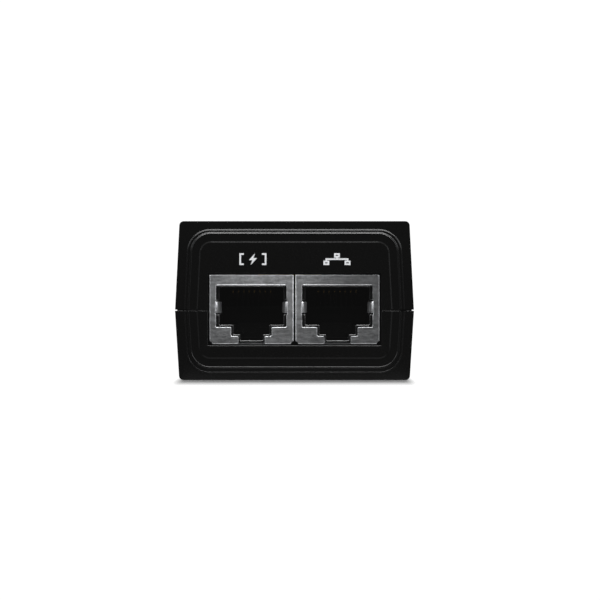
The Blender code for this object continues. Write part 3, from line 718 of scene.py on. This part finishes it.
def window_outline(x, bottom):
    step_x, step_z = WINDOW_STEP
    right = [(WINDOW_LATCH_HALF_WIDTH, bottom), (WINDOW_LATCH_HALF_WIDTH, step_z), (step_x, step_z),
             (step_x, WINDOW_LEDGE_Z), (WINDOW_HALF_WIDTH, WINDOW_LEDGE_Z), (WINDOW_HALF_WIDTH, WINDOW_TOP)]
    left = [(-WINDOW_LEFT_REACH if a == WINDOW_HALF_WIDTH else -a, b) for a, b in reversed(right)]
    return [(x + a, b) for a, b in round_corners(right + left, WINDOW_ROUNDING)]


def make_shield(port, x):
    """The folded can: a front frame with rounded folds, roof, sides and back, and a bent lip at the top."""
    low, high = box_mm(f"{port}_jack_shield")
    half_width = (high.x - low.x) / 2
    front = low.y
    loops = []
    for step in range(FOLD_STEPS + 1):
        angle = math.pi / 2 * step / FOLD_STEPS
        shrink = 1 - math.sin(angle)
        outline = shield_outline(x, low.z, half_width, high.z - 0.03, FOLD_RADIUS * shrink,
                                 TOP_FOLD_RADIUS * shrink)
        loops.append((front + FOLD_RADIUS * (1 - math.cos(angle)), outline))
    loops.append((high.y, outline))
    can = loft(f"{port}_jack_can", loops)
    inside = block("can_inside", (x - half_width + SHEET, front + SHEET, low.z - 1),
                   (x + half_width - SHEET, high.y - SHEET, high.z - SHEET))
    window = prism("can_window", window_outline(x, low.z - 1), front - 1, front + 1)
    spring_low, spring_high = box_mm(f"{port}_side_spring_left")
    notch = block("can_notches", (x - NOTCH_HALF_WIDTH, front - 1, spring_low.z - NOTCH_GAP),
                  (x + NOTCH_HALF_WIDTH, front + 1, spring_high.z + NOTCH_GAP))
    cut(can, inside, window, notch)
    soften(can, width=0.11)
    finish_piece(can, "case", "shield_metal", f"{port}_jack_shield")
    for name, outline, start, end, along in shield_trim(x, half_width, front, low.z, spring_low, spring_high):
        piece = prism(f"{port}_{name}", outline, start, end, along)
        smooth_shade(piece, 30)
        finish_piece(piece, "case", "shield_metal")


def shield_trim(x, half_width, front, bottom, spring_low, spring_high):
    """The cut and rolled edges that catch the light, each (name, outline, start, end, axis)."""
    latch = WINDOW_LATCH_HALF_WIDTH
    bead = [(front + BEAD_DEPTH + a, b)
            for a, b in arc(0.0, WINDOW_TOP + BEAD_RISE, BEAD_RADIUS, 0, 24, 345.0)]
    yield ("window_bead", bead, x - WINDOW_LEFT_REACH + BEAD_INSET, x + WINDOW_HALF_WIDTH - BEAD_INSET, "X")
    sill = [(front + a, bottom + b) for a, b in SILL_PROFILE]
    for side in (-1, 1):
        near = x + side * (latch + 0.05)
        out = x + side * (half_width - 0.62)
        yield (f"can_sill_{side}", sill, min(near, out), max(near, out), "X")
    near, low, far, high = LATCH_STRIP
    strip = bar(front + near, bottom + low, front + far, bottom + high)
    yield ("latch_strip", strip, x - latch, x + latch, "X")
    burrs = ((WINDOW_LEFT_REACH, WINDOW_LEDGE_Z + 0.1, spring_low.z - NOTCH_GAP),
             (WINDOW_LEFT_REACH, spring_high.z + NOTCH_GAP, WINDOW_TOP),
             (latch, bottom + 0.1, WINDOW_STEP[1] - 0.1))
    for index, (reach, start, end) in enumerate(burrs):
        burr = [(x - reach + a, front + b) for a, b in BURR_PROFILE]
        yield (f"window_burr_{index}", burr, start, end, "Z")


def make_housing(port, x):
    """The plastic body: the stepped plug cavity with softened ledges and pockets for the side springs."""
    low, high = box_mm(f"{port}_jack_housing")
    housing = block(f"{port}_jack_body", low, high)
    step_x, step_z = CAVITY_STEP
    latch_x, latch_z = CAVITY_LATCH
    right = [(latch_x, latch_z), (latch_x, step_z), (step_x, step_z), (step_x, CAVITY_LEDGE_Z),
             (CAVITY_HALF_WIDTH, CAVITY_LEDGE_Z), (CAVITY_HALF_WIDTH, CAVITY_TOP)]
    outline = [(x + a, b) for a, b in right] + [(x - a, b) for a, b in reversed(right)]
    cavity = prism("cavity", outline, low.y - 1, CAVITY_BACK)
    spring_low, spring_high = box_mm(f"{port}_side_spring_left")
    pockets = block("pockets", (x - POCKET_HALF_WIDTH, low.y - 1, spring_low.z - POCKET_GAP),
                    (x + POCKET_HALF_WIDTH, low.y + POCKET_DEPTH, spring_high.z + POCKET_GAP))
    cut(housing, cavity, pockets)
    soften(housing, width=0.15)
    finish_piece(housing, "case", "jack_plastic", f"{port}_jack_housing")


def wire_along(name, points, radius):
    """A round wire along a smooth path, as a mesh."""
    curve = bpy.data.curves.new(name, "CURVE")
    curve.dimensions = "3D"
    curve.bevel_depth = radius * MM
    curve.bevel_resolution = 3
    curve.use_fill_caps = True
    spline = curve.splines.new("POLY")
    spline.points.add(len(points) - 1)
    for target, point in zip(spline.points, points):
        target.co = (*(Vector(point) * MM), 1.0)
    source = bpy.data.objects.new(name + "_path", curve)
    bpy.context.scene.collection.objects.link(source)
    bpy.context.view_layer.update()
    mesh = bpy.data.meshes.new_from_object(source.evaluated_get(bpy.context.evaluated_depsgraph_get()))
    bpy.data.objects.remove(source, do_unlink=True)
    shape = bmesh.new()
    shape.from_mesh(mesh)
    bmesh.ops.remove_doubles(shape, verts=shape.verts, dist=0.002 * MM)
    bmesh.ops.recalc_face_normals(shape, faces=shape.faces)
    piece = new_piece(name, shape)
    smooth_shade(piece, 50)
    return piece


def contact_path(low, high):
    """Side view of a contact wire as (y, z): a small loop at the front, a bowed slope, a lifted tip."""
    front_y = low.y + WIRE_RADIUS
    front_z = high.z - WIRE_RADIUS
    tip_y = high.y - TIP_GAP
    tip_z = low.z + WIRE_RADIUS + TIP_GAP
    hook = arc(front_y + HOOK_RADIUS, front_z - HOOK_RADIUS, HOOK_RADIUS, 90, 9, 135.0)
    start_y = front_y + SLOPE_START[0]
    start_z = front_z - SLOPE_START[1]
    slope = []
    for step in range(1, SLOPE_STEPS + 1):
        t = step / SLOPE_STEPS
        fall = SLOPE_FALL * (t - SLOPE_BOW * math.sin(math.pi * t) * t)
        slope.append((start_y + (tip_y - start_y) * t, start_z + (tip_z - start_z) * min(1.0, fall)))
    return hook + slope


def make_contacts(port):
    for index in range(1, 9):
        node = f"{port}_contact_{index}"
        low, high = box_mm(node)
        middle = (low.x + high.x) / 2
        path = [(middle, y, z) for y, z in contact_path(low, high)]
        wire = wire_along(f"{port}_contact_wire_{index}", path, WIRE_RADIUS)
        finish_piece(wire, f"{port}_contacts", "gold_contact", node)


def make_side_springs(port, x):
    """Each spring turns in round the window's edge, bows towards the plug and curves back out at its tip."""
    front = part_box(f"{port}_jack_shield")[0].y / MM
    for label, side in (("left", -1), ("right", 1)):
        node = f"{port}_side_spring_{label}"
        low, high = box_mm(node)
        line = arc(SPRING_REACH, front + SPRING_SETBACK + SPRING_NOSE, SPRING_NOSE, -90, 5, -75.0)
        start_x, start_y = line[-1]
        for step in range(1, SPRING_STEPS + 1):
            t = step / SPRING_STEPS
            bow = SPRING_BOW * math.sin(min(1.0, t / SPRING_BOW_END) * math.pi / 2)
            curl = SPRING_CURL * max(0.0, (t - SPRING_BOW_END) / (1 - SPRING_BOW_END)) ** 1.6
            line.append((start_x - bow + curl, start_y + (high.y - start_y) * t))
        behind = [(a + SPRING_SHEET, b + (SPRING_NOSE_BACK if index < 3 else 0.0))
                  for index, (a, b) in enumerate(line)]
        outline = [(x + side * a, b) for a, b in line + behind[::-1]]
        spring = prism(f"{port}_ground_spring_{label}", outline, low.z, high.z, "Z")
        soften(spring, width=0.04, segments=2)
        finish_piece(spring, f"{port}_{label}_spring", "spring_metal", node)


# ---------------------------------------------------------------- mains inlet

def make_inlet():
    low, high = box_mm("ac_inlet_housing")
    housing = prism("inlet_body", inlet_outline(*INLET_OUTER), low.y, high.y - INLET_SETBACK)
    recess = prism("inlet_recess", round_corners(inlet_outline(*INLET_RECESS), RECESS_ROUNDING),
                   INLET_RECESS_FLOOR, high.y + 1)
    width, height, chamfer = INLET_OUTER
    flange = prism("inlet_flange", inlet_outline(width + FLANGE_MARGIN, height + FLANGE_MARGIN, chamfer),
                   INNER_HALF_LENGTH - FLANGE_GAP - FLANGE_THICKNESS, INNER_HALF_LENGTH - FLANGE_GAP)
    slots = []
    for pin in ("line_pin", "neutral_pin", "earth_pin"):
        pin_low, pin_high = box_mm(pin)
        slots.append(block(f"{pin}_slot", (pin_low.x - SLOT_GAP, low.y - 1, pin_low.z - SLOT_GAP),
                           (pin_high.x + SLOT_GAP, INLET_RECESS_FLOOR + 1, pin_high.z + SLOT_GAP)))
    join(housing, flange)
    cut(housing, recess, *slots)
    soften(housing, width=0.18)
    finish_piece(housing, "case", "inlet_plastic", "ac_inlet_housing")


def make_pins():
    """Blades with full rounded tips and softened edges."""
    for pin in ("line", "neutral", "earth"):
        low, high = box_mm(f"{pin}_pin")
        middle = (low + high) / 2
        half_x = (high.x - low.x) / 2
        half_z = (high.z - low.z) / 2
        loops = [(low.y, rounded_rectangle(half_x, -half_z, half_z, PIN_CORNER))]
        for step in range(PIN_TIP_STEPS + 1):
            turn = math.pi / 2 * step / PIN_TIP_STEPS
            y = high.y - PIN_TIP + PIN_TIP * math.sin(turn)
            shrink = PIN_TIP_SHRINK * (1 - math.cos(turn))
            loops.append((y, rounded_rectangle(half_x - shrink, -half_z + shrink, half_z - shrink,
                                               min(PIN_CORNER, half_x - shrink - 0.01))))
        shifted = [(y, [(middle.x + a, middle.z + b) for a, b in ring]) for y, ring in loops]
        blade = loft(f"{pin}_blade", shifted)
        smooth_shade(blade, 35)
        finish_piece(blade, "case", "plated_brass", f"{pin}_pin")


# ---------------------------------------------------------------- printed port symbols

def print_shapes(name, outlines):
    """Flat printed shapes on the front panel, as one piece."""
    shape = bmesh.new()
    for outline in outlines:
        part = prism(name, outline, -HALF_LENGTH - PRINT_THICKNESS, -HALF_LENGTH + 0.01)
        shape.from_mesh(part.data)
        bpy.data.objects.remove(part, do_unlink=True)
    piece = new_piece(name, shape)
    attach(piece, "case")
    piece.data.materials.append(look("port_print"))


def frame_bars(x, z, half_x, half_z):
    """The four strokes of a small box."""
    stroke = PRINT_STROKE
    return [bar(x - half_x, z + half_z - stroke, x + half_x, z + half_z),
            bar(x - half_x, z - half_z, x + half_x, z - half_z + stroke),
            bar(x - half_x, z - half_z + stroke, x - half_x + stroke, z + half_z - stroke),
            bar(x + half_x - stroke, z - half_z + stroke, x + half_x, z + half_z - stroke)]


def make_power_symbol(x):
    """A lightning bolt between two brackets, for the port that carries power."""
    half = PRINT_HEIGHT / 2
    bolt = [(0.42, half), (-0.78, -0.2), (-0.1, -0.2), (-0.42, -half), (0.78, 0.2), (0.1, 0.2)]
    shapes = [[(x + a, PRINT_Z + b) for a, b in bolt]]
    low = PRINT_Z - half
    high = PRINT_Z + half
    for side in (-1, 1):
        outer = x + side * PRINT_HALF_WIDTH
        inner = outer - side * PRINT_STROKE
        foot = outer - side * BRACKET_FOOT
        shapes.append(bar(min(outer, inner), low, max(outer, inner), high))
        shapes.append(bar(min(inner, foot), high - PRINT_STROKE, max(inner, foot), high))
        shapes.append(bar(min(inner, foot), low, max(inner, foot), low + PRINT_STROKE))
    print_shapes("power_symbol", shapes)


def make_network_symbol(x):
    """Three linked boxes, for the port that joins the network."""
    half = PRINT_HEIGHT / 2
    half_box = (0.55, 0.42)
    stroke = PRINT_STROKE / 2
    lower_x = PRINT_HALF_WIDTH - half_box[0]
    upper = PRINT_Z + half - half_box[1]
    lower = PRINT_Z - half + half_box[1]
    shapes = frame_bars(x, upper, *half_box)
    for side in (-1, 1):
        shapes += frame_bars(x + side * lower_x, lower, *half_box)
        shapes.append(bar(x + side * lower_x - stroke, lower + half_box[1], x + side * lower_x + stroke,
                          PRINT_Z - stroke))
    shapes.append(bar(x - lower_x - stroke, PRINT_Z - stroke, x + lower_x + stroke, PRINT_Z + stroke))
    shapes.append(bar(x - stroke, PRINT_Z + stroke, x + stroke, upper - half_box[1]))
    print_shapes("network_symbol", shapes)


# ---------------------------------------------------------------- carried-over CAD nodes

def dress_cad_nodes():
    """Give every CAD node that still shows its slot's look."""
    slots = {row["node"]: row["material_slot"] for row in frame["record"]["subparts"]}
    for node, obj in frame["nodes"].items():
        if obj.hide_render:
            continue
        obj.data.materials.clear()
        obj.data.materials.append(look(slots[node]))


# ---------------------------------------------------------------- stage, light and camera

def make_floor():
    """A dim sheet under the object, its dark tones a painted shadow, that fades out close to it, so that only
    its front edge has a shadow.
    """
    shape = bmesh.new()
    bmesh.ops.create_grid(shape, x_segments=2, y_segments=2, size=FLOOR_HALF_SIZE * MM)
    floor = new_piece("floor", shape)
    material = bpy.data.materials.new("floor_painted_shadow")
    material.use_nodes = True
    tree = material.node_tree
    tree.nodes.clear()
    diffuse = tree.nodes.new("ShaderNodeBsdfDiffuse")
    # Painted shadow: the sheet's dim tones stand in for the shade round the case.
    tree.links.new(ranged(tree, noise(tree, 40.0), *FLOOR_SHADOW_TONES), diffuse.inputs["Color"])
    gloss = tree.nodes.new("ShaderNodeBsdfGlossy")
    gloss.inputs["Roughness"].default_value = 0.1
    sheen = tree.nodes.new("ShaderNodeMixShader")
    sheen.inputs["Fac"].default_value = FLOOR_GLOSS_SHARE
    tree.links.new(diffuse.outputs["BSDF"], sheen.inputs[1])
    tree.links.new(gloss.outputs["BSDF"], sheen.inputs[2])
    mirrored = vector_maths(tree, "ABSOLUTE", object_place(tree))
    beyond = vector_maths(tree, "SUBTRACT", mirrored, (FLOOR_SIDE_START * MM, HALF_LENGTH * MM, 0.0))
    outside = vector_maths(tree, "MAXIMUM", beyond)
    stretched = vector_maths(tree, "MULTIPLY", outside, (FLOOR_SIDE_SCALE, 1.0, 1.0))
    distance = vector_maths(tree, "LENGTH", stretched, result="Value")
    solid, gone = FLOOR_FADE
    clear = tree.nodes.new("ShaderNodeBsdfTransparent")
    edge = tree.nodes.new("ShaderNodeMixShader")
    tree.links.new(ranged(tree, distance, 0.0, 1.0, solid * MM, gone * MM), edge.inputs["Fac"])
    tree.links.new(sheen.outputs["Shader"], edge.inputs[1])
    tree.links.new(clear.outputs["BSDF"], edge.inputs[2])
    output = tree.nodes.new("ShaderNodeOutputMaterial")
    tree.links.new(edge.outputs["Shader"], output.inputs["Surface"])
    floor.data.materials.append(material)


def make_world():
    """A white background round a dim studio: lit from the upper left, the upper right and above."""
    world = bpy.data.worlds.new("studio")
    bpy.context.scene.world = world
    world.use_nodes = True
    tree = world.node_tree
    tree.nodes.clear()
    seen = tree.nodes.new("ShaderNodeBackground")
    seen.inputs["Color"].default_value = (1.0, 1.0, 1.0, 1.0)
    seen.inputs["Strength"].default_value = BACKGROUND
    direction = tree.nodes.new("ShaderNodeSeparateXYZ")
    tree.links.new(tree.nodes.new("ShaderNodeTexCoord").outputs["Generated"], direction.inputs["Vector"])
    x, y, z = direction.outputs
    start, full = SIDE_REACH
    aside = maths(tree, "ADD", ranged(tree, x, LEFT_LIGHT, 0.0, -full, -start),
                  ranged(tree, x, 0.0, RIGHT_LIGHT, start, full))
    share = maths(tree, "MULTIPLY", ranged(tree, y, 1.0, 0.0, *FRONT_REACH),
                  ranged(tree, z, LOW_LIGHT_SHARE, 1.0, *RAISED_REACH))
    lamps = maths(tree, "ADD", maths(tree, "MULTIPLY", aside, share),
                  ranged(tree, z, 0.0, TOP_LIGHT, *TOP_REACH))
    room = tree.nodes.new("ShaderNodeBackground")
    room.inputs["Color"].default_value = (0.97, 0.98, 1.0, 1.0)
    tree.links.new(maths(tree, "ADD", lamps, ROOM_LIGHT), room.inputs["Strength"])
    path = tree.nodes.new("ShaderNodeLightPath")
    mix = tree.nodes.new("ShaderNodeMixShader")
    output = tree.nodes.new("ShaderNodeOutputWorld")
    tree.links.new(path.outputs["Is Camera Ray"], mix.inputs["Fac"])
    tree.links.new(room.outputs["Background"], mix.inputs[1])
    tree.links.new(seen.outputs["Background"], mix.inputs[2])
    tree.links.new(mix.outputs["Shader"], output.inputs["Surface"])


def softbox(name, place, target, size, radiance):
    """A soft rectangular lamp, in metres; its radiance is what a mirror would show of it."""
    light = bpy.data.lights.new(name, "AREA")
    light.shape = "RECTANGLE"
    light.size, light.size_y = size
    light.energy = math.pi * size[0] * size[1] * radiance
    lamp = bpy.data.objects.new(name, light)
    lamp.location = place
    lamp.rotation_euler = (Vector(target) - Vector(place)).to_track_quat("-Z", "Y").to_euler()
    bpy.context.scene.collection.objects.link(lamp)


def make_lights():
    softbox("overhead", place=(0.0, 0.04, 0.5), target=(0.0, 0.0, 0.0), size=(0.95, 0.44), radiance=12.5)
    softbox("front_top", place=(0.0, -0.27, 0.5), target=(0.0, -0.04, 0.015), size=(0.6, 0.12),
            radiance=12.0)


def make_camera():
    """A level, long-lens view square to the port face, centred as the object is seen."""
    camera = bpy.data.cameras.new("camera")
    camera.lens = 100.0
    camera.sensor_width = 36.0
    viewer = bpy.data.objects.new("camera", camera)
    distance = SEEN_WIDTH * camera.lens / camera.sensor_width
    viewer.location = Vector((CAMERA_X, -HALF_LENGTH - distance, CAMERA_Z)) * MM
    viewer.rotation_euler = (math.pi / 2, 0.0, 0.0)
    bpy.context.scene.collection.objects.link(viewer)
    bpy.context.scene.camera = viewer


make_shells()
for port in PORTS:
    low_corner, high_corner = box_mm(f"{port}_jack_shield")
    x = (low_corner.x + high_corner.x) / 2
    make_shield(port, x)
    make_housing(port, x)
    make_contacts(port)
    make_side_springs(port, x)
make_inlet()
make_pins()
make_power_symbol(POWER_SYMBOL_X)
make_network_symbol(NETWORK_SYMBOL_X)
dress_cad_nodes()
make_floor()
make_world()
make_lights()
make_camera()
display = bpy.context.scene.view_settings
display.view_transform = "Standard"
display.use_curve_mapping = True
display.curve_mapping.black_level = (-HAZE, -HAZE, -HAZE)
display.curve_mapping.update()
